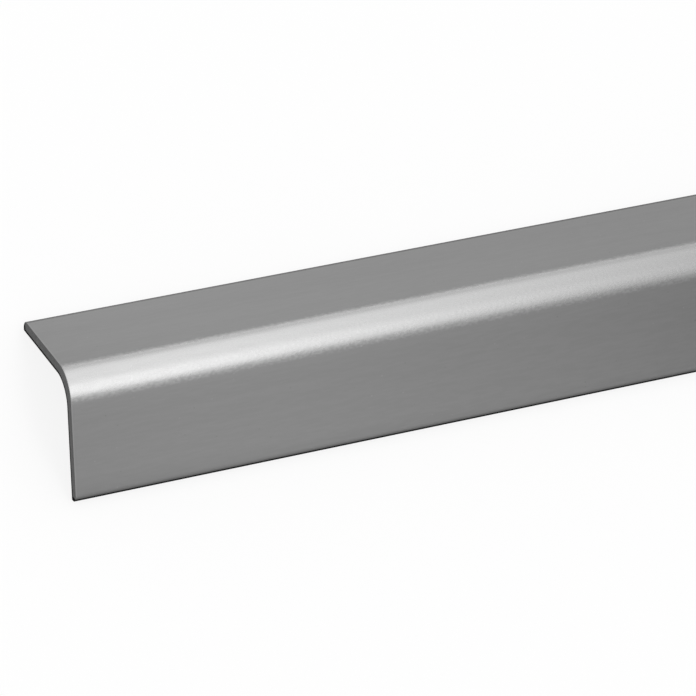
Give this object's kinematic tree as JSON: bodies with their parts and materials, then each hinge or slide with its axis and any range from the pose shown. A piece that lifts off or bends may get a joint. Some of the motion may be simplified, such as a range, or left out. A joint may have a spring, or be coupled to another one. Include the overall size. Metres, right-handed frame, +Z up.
{
  "type": "metal angle section",
  "caption": "Straight length of equal-leg metal angle with a thick, rounded heel, rounded toes and square sawn ends, lying heel up on its toes.",
  "frame": {"origin": "on the floor, under the middle of the piece", "axes": "+X along the length, +Z up through the heel, +Y towards the toe of the back leg"},
  "size_m": [1, 0.0336, 0.0169],
  "materials": {
    "metal": "dark satin mill finish with a fine grain and faint streaks along the length, a rubbed, brighter heel and darker toes; dull sawn ends"
  },
  "bodies": {
    "root": {"angle_section": "metal"}
  },
  "joints": []
}
